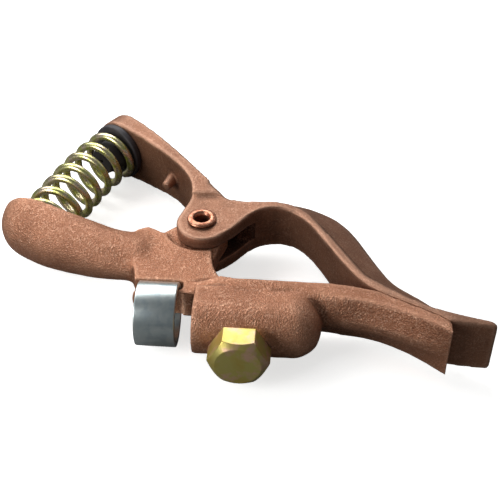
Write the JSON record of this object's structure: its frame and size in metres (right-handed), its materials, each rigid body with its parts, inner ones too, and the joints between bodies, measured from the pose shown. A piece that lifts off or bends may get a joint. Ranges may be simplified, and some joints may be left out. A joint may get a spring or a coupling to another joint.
{
  "type": "ground clamp",
  "caption": "Spring-loaded cast copper-alloy welding ground clamp with a pivoted jaw, a cable socket with a hex clamp bolt and a cable ring.",
  "frame": {"origin": "centre of the cable socket's mouth, on the socket's axis", "axes": "+X along the socket's axis into the socket and towards the jaw tips; +Y from the lower arm to the upper arm; +Z square to the arms' plane, along the pivot rivet"},
  "size_m": [0.1664, 0.1243, 0.0256],
  "materials": {
    "lower_casting": "sand-cast copper alloy, tumbled",
    "upper_casting": "sand-cast copper alloy, tumbled",
    "rivet_copper": "copper-plated, rolled",
    "spring_wire": "yellow zinc plated",
    "insulator": "moulded, matt",
    "ring_zinc": "bright zinc plated",
    "bolt_zinc": "yellow zinc plated"
  },
  "bodies": {
    "lower arm": {"lower_arm": "lower_casting", "spring": "spring_wire"},
    "upper arm": {"upper_arm": "upper_casting", "pivot_rivet": "rivet_copper", "spring_insulator": "insulator"},
    "cable ring": {"cable_ring": "ring_zinc"},
    "cable bolt": {"cable_bolt": "bolt_zinc"}
  },
  "joints": [
    {"name": "jaw_hinge", "type": "hinge", "parent": "lower arm", "child": "upper arm", "pos_m": [-0.0015, 0.0412, 0], "axis": [0, 0, 1], "range_deg": [0, 25], "stiffness_Nm_per_rad": 56, "springref_deg": -6.88, "deforming": ["spring"]},
    {"name": "ring_slide", "type": "slide", "parent": "lower arm", "child": "cable ring", "axis": [1, 0, 0], "range_m": [-0.01, 0.0006]},
    {"name": "bolt_travel", "type": "slide", "parent": "lower arm", "child": "cable bolt", "axis": [0, 1, 0], "range_m": [-0.01, 0.0003]}
  ]
}
